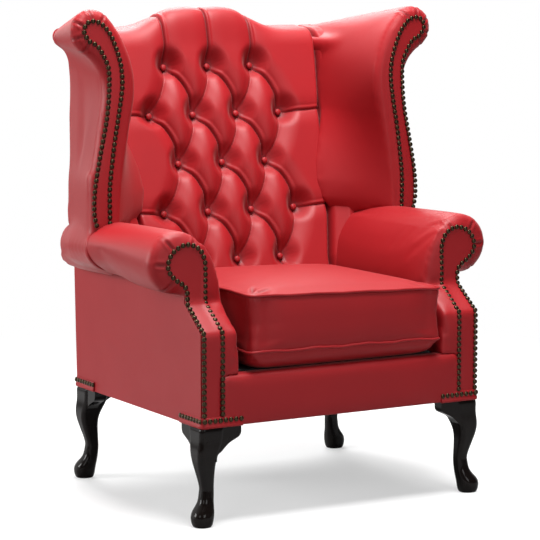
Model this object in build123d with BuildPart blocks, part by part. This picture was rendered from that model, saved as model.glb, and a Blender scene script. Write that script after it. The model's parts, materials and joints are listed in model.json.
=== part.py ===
from build123d import *
from math import asin, cos, degrees, radians, sin, tan
import os

os.makedirs("parts", exist_ok=True)

# Wing chair. Millimetres. The origin is on the floor under the middle of the chair, +Z is up,
# the chair faces -Y, and left (+X) and right (-X) are those of a person who sits in it.

# Carcass
seat_half_width = 333.0
front_y = -340.0
rear_y = 240.0
leg_height = 203.0
rear_rake = 6.95
side_lean_share = 0.0446
overrun = 60.0
clearance = 0.3
panel_thickness = 4.0

# Beech frame
rail_height = 90.0
rail_thickness = 32.0
post_width = 40.0
post_depth = 45.0
corner_block_leg = 70.0
corner_block_height = 50.0
arm_board_thickness = 22.0
arm_board_width = 98.0
wing_post_thickness = 28.0
wing_post_half_width = 14.0
wing_rail_height = 24.0
wing_rail_width = 26.0
back_frame_depth = 38.0
crest_rail_height = 62.0
stay_rail_height = 45.0
stay_rail_z = 345.0

# Legs: each row of the table is one level of the leg, as shares of its height, of the inset of
# its centre from the corner of the seat along each side, and of the half width of its knee
knee_half_width = 32.0
foot_inset_x = 9.0
foot_inset_y = 18.0
knee_inset = 31.0
leg_level_shares = (
    (0.000, 0.00, 0.54, 0.90),
    (0.020, 0.00, 0.62, 0.90),
    (0.075, 0.00, 0.69, 0.86),
    (0.140, 0.11, 0.67, 0.82),
    (0.210, 0.40, 0.53, 0.78),
    (0.285, 0.58, 0.45, 0.74),
    (0.360, 0.65, 0.42, 0.70),
    (0.450, 0.56, 0.46, 0.66),
    (0.540, 0.42, 0.54, 0.62),
    (0.640, 0.31, 0.64, 0.55),
    (0.760, 0.44, 0.77, 0.44),
    (0.880, 0.70, 0.85, 0.36),
    (1.000, 0.90, 0.88, 0.30),
)
ear_reach = 89.0
ear_foot_reach = 33.0
ear_drop = 70.0
ear_thickness = 26.0
ear_inset = 1.0
# Lower edge of an ear: shares of its reach beyond its foot and of its drop
ear_edge_shares = ((1.00, 0.16), (0.82, 0.36), (0.46, 0.51), (0.16, 0.73), (0.00, 1.00))
leg_bolt_radius = 4.0
leg_bolt_length = 84.0

# Arms
arm_facing_thickness = 6.0
arm_facing_inner_x = 284.0
facing_knee_z = 393.0
facing_neck_z = 446.0
scroll_set_back = 70.0
scroll_x = 330.0
scroll_z = 525.0
scroll_radius = 46.0
arm_pad_inner_x = 245.0
arm_pad_rear_inner_x = 222.0
arm_pad_lean = 44.0
arm_pad_rear_lean = 50.0
arm_pad_outer_x = 291.0
arm_pad_rear_y = 215.0
arm_top_z = 566.0
# Lean of the padded inner face into the roll: shares of the pad's height and of its lean
arm_pad_lean_shares = ((0.00, 0.00), (0.63, 0.10), (0.77, 0.28), (0.885, 0.53), (1.00, 1.00))
arm_roll_half_width = 66.0
arm_roll_half_height = 64.0
arm_roll_x = 343.0
arm_roll_z = 528.0
arm_roll_front_inset = 13.0
# Stations of the arm roll from its front to the back of the chair: shares of its length,
# of its centre from the middle of the chair, of its centre height, and of its two half sizes
arm_roll_station_shares = (
    (0.028, 1.000, 1.000, 1.00, 1.00),
    (0.120, 1.000, 1.000, 1.00, 1.00),
    (0.270, 1.000, 1.004, 1.02, 0.94),
    (0.400, 1.000, 1.012, 1.06, 0.84),
    (0.520, 1.006, 1.012, 1.10, 0.81),
    (0.770, 0.954, 0.996, 0.98, 0.81),
    (1.080, 0.870, 0.966, 0.64, 0.76),
)

# Wings
wing_front_y = 6.0
wing_edge_inset = 10.0
wing_edge_depth = 12.0
wing_rear_y = 330.0
wing_bottom_z = 560.0
wing_roll_x = 396.0
wing_roll_z = 983.0
wing_roll_radius = 49.0
wing_roll_rear_x = 319.0
wing_roll_rear_z = 965.0
wing_roll_rear_radius = 19.0
# Heights at which the wing's width is set, as shares of the height from its foot to its roll
wing_level_shares = (0.0, 0.29, 0.57, 0.76)
# Inner face at those heights, as shares of the roll's centre distance, station by station
wing_station_shares = (0.0, 0.18, 0.45, 1.0)
wing_inner_shares = (
    (0.836, 0.818, 0.770, 0.750),
    (0.763, 0.763, 0.748, 0.737),
    (0.624, 0.657, 0.705, 0.715),
    (0.606, 0.631, 0.652, 0.667),
)
wing_outer_shares = (1.030, 1.020, 0.962, 0.947)
wing_facing_inner_shares = (0.907, 0.899, 0.854, 0.828)
wing_facing_outer_shares = (1.010, 1.010, 0.947, 0.932)
wing_facing_roll_radius = 30.0
wing_facing_thickness = 10.0
wing_facing_proud = 3.0

# Deep-buttoned back
tuft_rake = 18.26
tuft_depth = 32.0
first_button_y = 110.0
first_button_z = 476.0
button_pitch_x = 109.5
button_pitch_v = 110.3
button_rows = 5
button_radius = 8.0
button_height = 6.0
dimple_radius = 46.0
dimple_foot_radius = 9.5
dimple_swell_share = 0.32
pleat_half_width = 25.0
pleat_depth = 26.0
pleat_swell_share = 0.30
pleat_side_reach = 130.0
back_pad_front_y = 66.0
back_pad_waist_z = 440.0
back_pad_half_width = 285.0
back_pad_top_half_width = 318.0
back_pad_flare_z = 900.0
back_strap_width = 50.0
back_strap_thickness = 3.0
back_strap_count = 5
crest_spring_z = 940.0
crest_top_z = 1029.0
crest_shoulder_z = 981.0
crest_half_width = 200.0
# Stations of the crest from its middle to its shoulder: shares of its half width and of its rise
crest_station_shares = (
    (0.00, 1.00),
    (0.30, 0.97),
    (0.45, 0.86),
    (0.56, 0.66),
    (0.66, 0.40),
    (0.77, 0.18),
    (0.88, 0.05),
    (1.00, 0.00),
)
crest_rear_bulge = 15.0
crest_seam_z = 957.0
crest_rail_top_z = 990.0

# Seat
webbing_width = 50.0
webbing_thickness = 2.5
webbing_end_gap = 10.0
long_strap_count = 5
cross_strap_count = 4
platform_half_width = 240.0
platform_top_z = 307.7
border_top_z = 305.0
border_lip_depth = 39.0
border_edge = 6.0
dust_cover_thickness = 1.5
dust_cover_inset = 12.0

# Loose cushion
cushion_half_width = 240.0
cushion_rear_half_width = 224.0
cushion_front_y = -343.0
cushion_rear_y = 62.0
cushion_corner_radius = 30.0
cushion_bottom_z = 308.0
cushion_lower_piping_z = 336.0
cushion_upper_piping_z = 455.0
cushion_top_z = 471.0
cushion_waist = 6.0
cushion_crown_inset = 110.0
cushion_base_inset = 40.0
# Crown and base of the cushion: shares of the rise and of the inset from the piping to the flat middle
cushion_crown_shares = ((0.0, 0.0), (0.34, 0.12), (0.66, 0.38), (1.0, 1.0))
cushion_base_shares = ((0.0, 0.0), (0.5, 0.08), (0.82, 0.35), (1.0, 1.0))
cushion_side_shares = ((0.0, 0.0), (0.2, 0.7), (0.5, 1.0), (0.8, 0.7), (1.0, 0.0))
cushion_cover_thickness = 4.5
piping_radius = 4.0
zip_half_length = 170.0
zip_height = 28.0
zip_thickness = 1.5

# Places that follow from the sizes above
frame_x = seat_half_width - panel_thickness
frame_front_y = front_y + panel_thickness
rail_top_z = leg_height + rail_height
scroll_y = front_y + scroll_set_back
post_inner_x = frame_x - post_width
arm_board_z = arm_roll_z - arm_board_thickness
wing_height = wing_roll_z - wing_bottom_z
straps_top_z = rail_top_z + 2 * webbing_thickness
side_rail_x = frame_x - rail_thickness
rail_back_y = frame_front_y + rail_thickness
crest_rail_z = crest_rail_top_z - crest_rail_height
back_forward = Vector(0, -cos(radians(rear_rake)), sin(radians(rear_rake)))
back_plane = Plane(
    origin=(0, rear_y - panel_thickness, leg_height), x_dir=(1, 0, 0), z_dir=back_forward
)
tuft_out = Vector(0, -cos(radians(tuft_rake)), sin(radians(tuft_rake)))
tuft_plane = Plane(
    origin=Vector(0, first_button_y, first_button_z) + tuft_out * tuft_depth,
    x_dir=(1, 0, 0),
    z_dir=tuft_out,
)


def across(y):
    """Upright plane across the chair at a distance y, with X to the right and Z up"""
    return Plane.XZ.offset(-y)


def rear_face_y(z):
    """Back of the frame at a height"""
    return back_plane.origin.Y + (z - leg_height) * tan(radians(rear_rake))


def slope_height(z):
    """Distance up the raked back of the frame to a height"""
    return (z - leg_height) / cos(radians(rear_rake))


def cut_away(*pieces):
    """Take other pieces out of the part that is being made"""
    for piece in pieces:
        add(piece.part, mode=Mode.SUBTRACT)


def trim_to_back():
    """Cut the part off along the raked back of the frame"""
    split(bisect_by=back_plane, keep=Keep.TOP)


def mirrored(piece):
    """The same piece for the right side of the chair"""
    with BuildPart() as other_side:
        mirror(piece.part, about=Plane.YZ)
    return other_side


def lerp(start, end, share):
    return start + (end - start) * share


def polygon(*points):
    """A closed outline of straight lines, where its points are given"""
    Polygon(*points, align=None)


# Hanger bolts, half in each leg and half in the post above it
with BuildPart() as left_leg_bolts:
    with BuildSketch(Plane.XY.offset(leg_height - leg_bolt_length / 2)):
        with Locations(
            (seat_half_width - knee_inset, front_y + knee_inset),
            (seat_half_width - knee_inset, rear_y - knee_inset),
        ):
            Circle(leg_bolt_radius)
    extrude(amount=leg_bolt_length)

with BuildPart() as leg_bolts:
    add(left_leg_bolts.part)
    mirror(about=Plane.YZ)


# Arm facing: a board cut to the scroll and bent back between the post and the scroll
def front_line(back, top):
    """Side view of the arm's front, moved back into the arm"""
    return [
        (front_y + back, leg_height),
        (front_y + back, facing_knee_z),
        (scroll_y + back, facing_neck_z),
        (scroll_y + back, top),
    ]


with BuildPart() as arm_facing:
    with BuildSketch(Plane.XZ):
        polygon(
            (arm_facing_inner_x, leg_height),
            (seat_half_width, leg_height),
            (seat_half_width, scroll_z),
            (arm_facing_inner_x, scroll_z),
        )
        with Locations((scroll_x, scroll_z)):
            Circle(scroll_radius)
    extrude(amount=-front_y)
    with BuildSketch(Plane.YZ):
        top_z = scroll_z + scroll_radius + overrun
        polygon(*front_line(0, top_z), *reversed(front_line(arm_facing_thickness, top_z)))
    extrude(amount=seat_half_width + overrun, mode=Mode.INTERSECT)


# Outside arm panels: leather on board, drawn in towards the back of the chair
def outside_arm_section(y, lean):
    with BuildSketch(across(y)) as section:
        polygon(
            (frame_x, leg_height),
            (seat_half_width, leg_height),
            (seat_half_width - lean, arm_roll_z),
            (frame_x - lean, arm_roll_z),
        )
    return section.sketch


with BuildPart() as outside_arm_panel:
    full_lean = (arm_roll_z - leg_height) * side_lean_share
    loft(
        [
            outside_arm_section(front_y + arm_facing_thickness, 0),
            outside_arm_section(rear_y + overrun, full_lean),
        ],
        ruled=True,
    )
    with BuildSketch(Plane.YZ):
        polygon(
            *front_line(arm_facing_thickness, arm_roll_z),
            (rear_y + overrun, arm_roll_z),
            (rear_y + overrun, leg_height),
        )
    extrude(amount=seat_half_width, mode=Mode.INTERSECT)
    trim_to_back()


# Arm posts and the flat arm boards that carry the roll
with BuildPart() as arm_post:
    with BuildSketch(Plane.YZ.offset(post_inner_x)):
        polygon(
            *front_line(arm_facing_thickness, arm_board_z),
            (scroll_y + arm_facing_thickness + post_depth, arm_board_z),
            (scroll_y + arm_facing_thickness + post_depth, facing_neck_z - post_width),
            (frame_front_y + post_depth, rail_top_z),
            (frame_front_y + post_depth, leg_height),
        )
    extrude(amount=post_width)
    cut_away(outside_arm_panel, arm_facing, left_leg_bolts)


with BuildPart() as back_post:
    with BuildSketch(back_plane):
        post_height = slope_height(wing_roll_rear_z)
        lean = post_height * side_lean_share
        polygon(
            (post_inner_x, 0),
            (frame_x, 0),
            (frame_x - lean, post_height),
            (post_inner_x - lean, post_height),
        )
    extrude(amount=back_frame_depth)
    cut_away(outside_arm_panel, left_leg_bolts)


def whole(half):
    """A piece across the chair, from its left half"""
    with BuildPart() as both_halves:
        add(half.part)
        mirror(half.part, about=Plane.YZ)
    return both_halves


# Rails across the chair
with BuildPart() as half_front_rail:
    with BuildSketch(Plane.XY.offset(leg_height)):
        with Locations((0, frame_front_y)):
            Rectangle(post_inner_x, rail_thickness, align=(Align.MIN, Align.MIN))
    extrude(amount=rail_height)
    cut_away(arm_facing)

front_seat_rail = whole(half_front_rail)

back_rail_front_y = rear_face_y(leg_height) - rail_thickness
with BuildPart() as half_back_rail:
    with BuildSketch(Plane.YZ):
        polygon(
            (back_rail_front_y, leg_height),
            (rear_face_y(leg_height), leg_height),
            (rear_face_y(rail_top_z), rail_top_z),
            (back_rail_front_y, rail_top_z),
        )
    extrude(amount=post_inner_x)
    cut_away(back_post)

back_seat_rail = whole(half_back_rail)


def back_rail(bottom_z, top_z, depth):
    """Left half of a rail between the back posts"""
    with BuildPart() as rail:
        with BuildSketch(back_plane) as outline:
            with Locations((0, slope_height(bottom_z))):
                Rectangle(
                    post_inner_x,
                    slope_height(top_z) - slope_height(bottom_z),
                    align=(Align.MIN, Align.MIN),
                )
        extrude(outline.sketch, amount=depth)
        cut_away(back_post)
    return rail


back_stay_rail = whole(back_rail(stay_rail_z, stay_rail_z + stay_rail_height, back_frame_depth))

with BuildPart() as half_crest_rail:
    add(back_rail(crest_rail_z, crest_seam_z, rail_thickness).part)
    with BuildSketch(back_plane):
        hump_foot = slope_height(crest_seam_z)
        hump_rise = slope_height(crest_rail_top_z) - hump_foot
        polygon(
            (0, hump_foot),
            *((crest_half_width * wide, hump_foot + hump_rise * rise) for wide, rise in crest_station_shares),
        )
    extrude(amount=rail_thickness)

crest_rail = whole(half_crest_rail)

# Side rails and corner blocks
with BuildPart() as side_seat_rail:
    with BuildSketch(Plane.XY.offset(leg_height)):
        with Locations((side_rail_x, frame_front_y + post_depth)):
            Rectangle(
                rail_thickness,
                rear_y - frame_front_y - post_depth,
                align=(Align.MIN, Align.MIN),
            )
    extrude(amount=rail_height)
    trim_to_back()
    cut_away(outside_arm_panel, back_post, left_leg_bolts)

with BuildPart() as left_corner_blocks:
    with BuildSketch(Plane.XY.offset(leg_height)):
        polygon(
            (side_rail_x, rail_back_y),
            (side_rail_x, rail_back_y + corner_block_leg),
            (side_rail_x - corner_block_leg, rail_back_y),
        )
        polygon(
            (side_rail_x, back_rail_front_y),
            (side_rail_x - corner_block_leg, back_rail_front_y),
            (side_rail_x, back_rail_front_y - corner_block_leg),
        )
    extrude(amount=corner_block_height)
    cut_away(arm_post, back_post, left_leg_bolts)

corner_blocks = whole(left_corner_blocks)

# Elastic straps: those of the seat cross each other on top of the rails
with BuildPart() as long_seat_straps:
    strap_front_y = frame_front_y + 2 * panel_thickness
    strap_rear_y = rear_y - panel_thickness - webbing_end_gap / 2
    with BuildSketch(Plane.XY.offset(rail_top_z)):
        with Locations((0, (strap_front_y + strap_rear_y) / 2)):
            with GridLocations(2 * platform_half_width / long_strap_count, 0, long_strap_count, 1):
                Rectangle(webbing_width, strap_rear_y - strap_front_y)
    extrude(amount=webbing_thickness)

with BuildPart() as cross_seat_straps:
    with BuildSketch(Plane.XY.offset(rail_top_z + webbing_thickness)):
        cross_span = back_rail_front_y - rail_back_y
        with Locations((0, (back_rail_front_y + rail_back_y) / 2)):
            with GridLocations(0, cross_span / cross_strap_count, 1, cross_strap_count):
                Rectangle(2 * (side_rail_x + webbing_end_gap), webbing_width)
    extrude(amount=webbing_thickness)

strap_plane = back_plane.offset(back_frame_depth)
with BuildPart() as back_straps:
    lowest = slope_height(stay_rail_z) + stay_rail_height / 2
    highest = slope_height(crest_rail_z)
    with BuildSketch(strap_plane):
        with Locations((0, (lowest + highest) / 2)):
            with GridLocations(0, (highest - lowest) / back_strap_count, 1, back_strap_count):
                Rectangle(2 * (post_inner_x - lean + webbing_end_gap), back_strap_width)
    extrude(amount=back_strap_thickness)


with BuildPart() as arm_board:
    with BuildSketch(Plane.XY.offset(arm_board_z)):
        board_front_y = scroll_y + arm_facing_thickness + clearance
        board_rear_y = rear_face_y(arm_board_z)
        polygon(
            (post_inner_x, board_front_y),
            (post_inner_x + arm_board_width, board_front_y),
            (post_inner_x + arm_board_width, wing_front_y + 2 * wing_post_thickness),
            (frame_x - post_width / 2, board_rear_y),
            (post_inner_x - post_width / 2, board_rear_y),
        )
    extrude(amount=arm_board_thickness)
    trim_to_back()
    cut_away(back_post)


# Wing posts, sawn to the line of the facing, and the rails that tie them to the back posts
with BuildPart() as wing_post:
    post_front_y = wing_front_y - wing_facing_proud + wing_facing_thickness
    middle = [
        wing_roll_x * (inner + outer) / 2
        for inner, outer in zip(wing_facing_inner_shares, wing_facing_outer_shares)
    ]
    with BuildSketch(across(post_front_y)):
        with BuildLine() as post_line:
            Spline(
                *zip(middle, [wing_bottom_z + wing_height * share for share in wing_level_shares]),
                (wing_roll_x, wing_roll_z),
                tangents=((0, 1), (1, 1)),
            )
        trace(post_line.edges(), line_width=2 * wing_post_half_width)
        with Locations((wing_roll_x, wing_roll_z)):
            Circle(wing_post_half_width)
        with Locations((middle[0], wing_bottom_z)):
            Rectangle(
                2 * wing_post_half_width,
                wing_bottom_z - arm_roll_z,
                align=(Align.CENTER, Align.MAX),
            )
    extrude(amount=-wing_post_thickness)


def wing_rail_section(y, x):
    with BuildSketch(across(y)) as section:
        with Locations((x, crest_spring_z)):
            Rectangle(wing_rail_width, wing_rail_height)
    return section.sketch


with BuildPart() as wing_rail:
    loft(
        [
            wing_rail_section(post_front_y + wing_post_thickness, middle[-1] + wing_post_half_width),
            wing_rail_section(
                rear_face_y(crest_spring_z) - back_frame_depth / 2,
                frame_x - lean - post_width / 2,
            ),
        ],
        ruled=True,
    )
    cut_away(back_post)


# Arm roll and the padded inner face of the arm
def arm_roll_section(y, share):
    station, centre_x, centre_z, half_width, half_height = share
    with BuildSketch(across(y)) as section:
        with Locations((arm_roll_x * centre_x, arm_roll_z * centre_z)):
            Ellipse(arm_roll_half_width * half_width, arm_roll_half_height * half_height)
    return section.sketch


def front_border_profile():
    """Front border from under the rail to the lip on top of the seat"""
    lip_y = front_y + border_lip_depth
    with BuildSketch(Plane.YZ) as profile:
        with BuildLine():
            Polyline(
                (front_y + border_edge, border_top_z),
                (lip_y, border_top_z),
                (lip_y, straps_top_z),
                (frame_front_y + 2 * panel_thickness, straps_top_z),
                (frame_front_y + 2 * panel_thickness, rail_top_z),
                (frame_front_y, rail_top_z),
                (frame_front_y, leg_height),
                (front_y, leg_height),
                (front_y, border_top_z - border_edge),
            )
            RadiusArc(
                (front_y, border_top_z - border_edge),
                (front_y + border_edge, border_top_z),
                border_edge,
            )
        make_face()
    return profile.sketch


with BuildPart() as front_border:
    extrude(front_border_profile(), amount=arm_facing_inner_x, both=True)


roll_length = rear_face_y(arm_roll_z) - scroll_y
with BuildPart() as arm_roll:
    first_share = (0, 1, 1) + tuple(
        (size - arm_roll_front_inset) / size for size in (arm_roll_half_width, arm_roll_half_height)
    )
    first_section = arm_roll_section(scroll_y + arm_facing_thickness / 2, first_share)
    loft(
        [first_section]
        + [
            arm_roll_section(scroll_y + roll_length * share[0], share)
            for share in arm_roll_station_shares
        ],
        ruled=True,
    )
    trim_to_back()

with BuildPart() as inside_arm:
    for rise, lean_share in arm_pad_lean_shares:
        with BuildSketch(Plane.XY.offset(lerp(straps_top_z, arm_top_z, rise))):
            polygon(
                (arm_pad_outer_x, front_y),
                (arm_pad_inner_x + arm_pad_lean * lean_share, front_y),
                (arm_pad_rear_inner_x + arm_pad_rear_lean * lean_share, arm_pad_rear_y),
                (arm_pad_outer_x, arm_pad_rear_y),
            )
    loft(ruled=True)
    with BuildSketch(Plane.YZ):
        polygon(
            *front_line(arm_facing_thickness / 2, arm_top_z),
            (arm_pad_rear_y, arm_top_z),
            (arm_pad_rear_y, leg_height),
        )
    extrude(amount=seat_half_width, mode=Mode.INTERSECT)
    add(arm_roll.part)
    cut_away(arm_facing, arm_post, back_post, arm_board, wing_post, back_straps)
    cut_away(front_border, outside_arm_panel)

with BuildPart() as outside_arm:
    add(outside_arm_panel.part)
    cut_away(arm_roll)


# Wings
def wing_outline(y, inner, outer, roll_x, roll_z, radius):
    """Front view of a wing: a long S on each side and a roll turned out at the top"""
    levels = [wing_bottom_z + wing_height * share for share in wing_level_shares]
    entry, side, leave = (
        (roll_x + radius * cos(radians(angle)), roll_z + radius * sin(radians(angle)))
        for angle in (135, 0, -60)
    )
    over, under = (
        (roll_x + radius * cos(radians(angle)), roll_z + radius * sin(radians(angle)))
        for angle in (70, -30)
    )
    inner_points = list(zip(inner, levels))
    outer_points = list(zip(outer, levels))
    leave_way = (-sin(radians(60)), -cos(radians(60)))
    with BuildSketch(across(y)) as section:
        with BuildLine():
            Spline(*inner_points, entry, tangents=((0, 1), (1, 1)))
            ThreePointArc(entry, over, side)
            ThreePointArc(side, under, leave)
            Spline(leave, *reversed(outer_points), tangents=(leave_way, (0, -1)))
            Line(outer_points[0], inner_points[0])
        make_face()
    return section.sketch


def wing_station(y, share, inner, inset):
    """One cross-section of the wing, its outer side drawn in towards the back post"""
    outer = []
    for level, wide in zip(wing_level_shares, wing_outer_shares):
        z = wing_bottom_z + wing_height * level
        post_x = seat_half_width - (z - leg_height) * side_lean_share
        outer.append(lerp(wing_roll_x * wide, post_x, share) - inset)
    return wing_outline(
        y,
        [wing_roll_x * narrow + inset for narrow in inner],
        outer,
        lerp(wing_roll_x, wing_roll_rear_x, share),
        lerp(wing_roll_z, wing_roll_rear_z, share),
        lerp(wing_roll_radius, wing_roll_rear_radius, share) - inset,
    )


with BuildPart() as wing_body:
    first_section = wing_station(wing_front_y, 0, wing_inner_shares[0], wing_edge_inset)
    full_y = wing_front_y + wing_edge_depth
    loft(
        [first_section]
        + [
            wing_station(lerp(full_y, wing_rear_y, share), share, inner, 0)
            for share, inner in zip(wing_station_shares, wing_inner_shares)
        ],
        ruled=True,
    )
    trim_to_back()

def facing_outline(y):
    """Front of the wing between its two rows of nails"""
    return wing_outline(
        y,
        [wing_roll_x * share for share in wing_facing_inner_shares],
        [wing_roll_x * share for share in wing_facing_outer_shares],
        wing_roll_x,
        wing_roll_z,
        wing_facing_roll_radius,
    )


with BuildPart() as wing_facing:
    extrude(facing_outline(wing_front_y - wing_facing_proud), amount=-wing_facing_thickness)
    cut_away(arm_roll)


def wing_panel_section(y, share):
    """Leather and board over the outer side of the wing, below its roll"""
    outer = []
    inner = []
    for level, wide in zip(wing_level_shares, wing_outer_shares):
        z = wing_bottom_z + wing_height * level
        post_x = seat_half_width - (z - leg_height) * side_lean_share
        outer.append((lerp(wing_roll_x * wide, post_x, share) + clearance, z))
        inner.append((lerp(wing_roll_x * wide, post_x, share) - panel_thickness, z))
    with BuildSketch(across(y)) as section:
        with BuildLine():
            Spline(*outer)
            Line(outer[-1], inner[-1])
            Spline(*reversed(inner))
            Line(inner[0], outer[0])
        make_face()
    return section.sketch


with BuildPart() as outside_wing:
    loft(
        [
            wing_panel_section(lerp(full_y, wing_rear_y, share), share)
            for share in wing_station_shares[1:]
        ],
        ruled=True,
    )
    add(wing_body.part, mode=Mode.INTERSECT)
    trim_to_back()
    cut_away(arm_roll)


with BuildPart() as inside_wing:
    add(wing_body.part)
    cut_away(arm_roll, inside_arm, arm_board, outside_wing, wing_facing)
    cut_away(wing_post, wing_rail, back_post, back_straps, crest_rail)


# Legs
def leg_section(corner_y, rearward, level):
    """One level of a cabriole leg: a square with rounded corners, set in from the seat's corner"""
    height_share, inset_share, width_share, round_share = level
    inset_x = lerp(foot_inset_x, knee_inset, inset_share)
    inset_y = lerp(foot_inset_y, knee_inset, inset_share)
    half_width = knee_half_width * width_share
    with BuildSketch(Plane.XY.offset(leg_height * height_share)) as section:
        with Locations((seat_half_width - inset_x, corner_y + rearward * inset_y)):
            RectangleRounded(2 * half_width, 2 * half_width, half_width * round_share)
    return section.sketch


def cabriole_leg(corner_y, rearward):
    with BuildPart() as leg:
        loft([leg_section(corner_y, rearward, level) for level in leg_level_shares])
        cut_away(left_leg_bolts)
    return leg


def knee_ears(leg, corner_y, rearward):
    """The two glued brackets that carry the knee along the front or back and along the side"""
    lower_edge = [
        (-lerp(ear_foot_reach, ear_reach, wide), leg_height - ear_drop * drop)
        for wide, drop in ear_edge_shares
    ]
    with BuildPart() as ears:
        with BuildSketch(Plane.XZ) as profile:
            with BuildLine():
                Polyline(
                    lower_edge[-1],
                    (-knee_inset, leg_height - ear_drop),
                    (-knee_inset, leg_height),
                    (-ear_reach, leg_height),
                    lower_edge[0],
                )
                Spline(*lower_edge, tangents=((0, -1), (0, -1)))
            make_face()
        extrude(profile.sketch, amount=-ear_thickness)
        mirror(about=Plane(origin=(0, 0, 0), z_dir=(1, 1, 0)))
    with BuildPart() as placed:
        turned = ears.part
        if rearward < 0:
            turned = mirror(ears.part, about=Plane.XZ, mode=Mode.PRIVATE)
        corner = (seat_half_width - ear_inset, corner_y + rearward * ear_inset, 0)
        add(turned.moved(Location(corner)))
        cut_away(leg, left_leg_bolts)
    return placed


front_leg = cabriole_leg(front_y, 1)
rear_leg = cabriole_leg(rear_y, -1)
front_ears = knee_ears(front_leg, front_y, 1)
rear_ears = knee_ears(rear_leg, rear_y, -1)

# Outside back: one flat panel with an ear over the end of each wing roll
with BuildPart() as half_outside_back:
    roll_end = (wing_roll_rear_x, slope_height(wing_roll_rear_z))
    with BuildSketch(back_plane):
        polygon(
            (0, -overrun),
            (seat_half_width, -overrun),
            (seat_half_width - lean, hump_foot),
            (0, hump_foot),
        )
        polygon(
            (roll_end[0] - 2 * wing_roll_rear_radius, hump_foot),
            (roll_end[0] - 2 * wing_roll_rear_radius, roll_end[1] - wing_roll_rear_radius),
            (roll_end[0], roll_end[1] - wing_roll_rear_radius),
            (roll_end[0], roll_end[1] + wing_roll_rear_radius),
        )
        with Locations(roll_end):
            Circle(wing_roll_rear_radius)
    extrude(amount=-panel_thickness)
    split(bisect_by=Plane.XY.offset(leg_height), keep=Keep.TOP)

outside_back = whole(half_outside_back)


# Inside back: one deep pad, rolled over the crest rail, buttoned through to the straps
def tuft_face_y(z):
    return tuft_plane.origin.Y + (z - tuft_plane.origin.Z) * tan(radians(tuft_rake))


def back_pad_section(x, top_z):
    """Side view of the back pad"""
    rear_gap = (back_frame_depth + back_strap_thickness) / cos(radians(rear_rake))
    spring = (tuft_face_y(crest_spring_z), crest_spring_z)
    seam_y = rear_face_y(crest_seam_z)
    rear = (seam_y + panel_thickness + crest_rear_bulge, (crest_seam_z + crest_shoulder_z) / 2)
    with BuildSketch(Plane.YZ.offset(x)) as section:
        with BuildLine():
            Polyline(
                rear,
                (seam_y, crest_seam_z),
                (rear_face_y(crest_rail_z) - rear_gap, crest_rail_z),
                (rear_face_y(straps_top_z) - rear_gap, straps_top_z),
                (back_pad_front_y, straps_top_z),
                (back_pad_front_y, back_pad_waist_z),
                spring,
            )
            Spline(
                spring,
                ((spring[0] + rear[0]) / 2, top_z),
                rear,
                tangents=((sin(radians(tuft_rake)), cos(radians(tuft_rake))), (0, -1)),
            )
        make_face()
    return section.sketch


def pleat(start, end):
    """Cut a fold of the leather along the pad from one place on it to another"""
    first = tuft_plane.from_local_coords(Vector(*start, 0))
    run = tuft_plane.from_local_coords(Vector(*end, 0)) - first
    along = run.normalized()
    fold_plane = Plane(origin=first, x_dir=tuft_out.cross(along), z_dir=along)
    flank = (pleat_half_width * pleat_swell_share, -pleat_depth * pleat_swell_share)
    with BuildSketch(fold_plane) as fold:
        with BuildLine():
            ThreePointArc((-pleat_half_width, 0), (-flank[0], flank[1]), (0, -pleat_depth))
            ThreePointArc((0, -pleat_depth), flank, (pleat_half_width, 0))
            Polyline(
                (pleat_half_width, 0),
                (pleat_half_width, pleat_depth),
                (-pleat_half_width, pleat_depth),
                (-pleat_half_width, 0),
            )
        make_face()
    extrude(fold.sketch, amount=run.length, mode=Mode.SUBTRACT)


def dimple(place):
    """Cut the well of one button"""
    centre = tuft_plane.from_local_coords(Vector(*place, 0))
    flank = (lerp(dimple_foot_radius, dimple_radius, dimple_swell_share), -tuft_depth * dimple_swell_share)
    with BuildSketch(Plane(origin=centre, x_dir=(1, 0, 0), z_dir=Vector(1, 0, 0).cross(tuft_out))) as well:
        with BuildLine():
            Polyline(
                (dimple_radius, 0),
                (dimple_radius, tuft_depth),
                (0, tuft_depth),
                (0, -tuft_depth),
                (dimple_foot_radius, -tuft_depth),
            )
            ThreePointArc((dimple_foot_radius, -tuft_depth), flank, (dimple_radius, 0))
        make_face()
    revolve(well.sketch, axis=Axis(centre, tuft_out), mode=Mode.SUBTRACT)


def button_row(row):
    """Places of a row's buttons in the left half: every other row is shifted by half a pitch"""
    shift = button_pitch_x / 2 if row % 2 else 0
    return [(shift, row * button_pitch_v), (shift + button_pitch_x, row * button_pitch_v)]


with BuildPart() as half_inside_back:
    loft(
        [
            back_pad_section(crest_half_width * wide, lerp(crest_shoulder_z, crest_top_z, rise))
            for wide, rise in crest_station_shares
        ]
        + [back_pad_section(back_pad_top_half_width, crest_shoulder_z)],
        ruled=True,
    )
    with BuildSketch(Plane.XZ):
        polygon(
            (0, leg_height),
            (back_pad_half_width, leg_height),
            (back_pad_half_width, back_pad_flare_z),
            (back_pad_top_half_width, crest_rail_top_z),
            (back_pad_top_half_width, crest_top_z + overrun),
            (0, crest_top_z + overrun),
        )
    extrude(amount=-rear_y * 2, mode=Mode.INTERSECT)
    cut_away(wing_body, wing_rail, inside_arm, arm_board, back_post, crest_rail, outside_back)
    for row in range(button_rows):
        for place in button_row(row):
            dimple(place)
            if row + 1 < button_rows:
                for above in button_row(row + 1):
                    if abs(above[0] - place[0]) < button_pitch_x:
                        pleat(place, above)
    for place in button_row(0):
        pleat(place, (place[0], -button_pitch_v))
    for place in button_row(button_rows - 1):
        pleat(place, (place[0], place[1] + button_pitch_v))
    for row in range(1, button_rows, 2):
        outermost = button_row(row)[-1]
        pleat(outermost, (outermost[0] + pleat_side_reach, outermost[1]))

inside_back = whole(half_inside_back)

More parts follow.
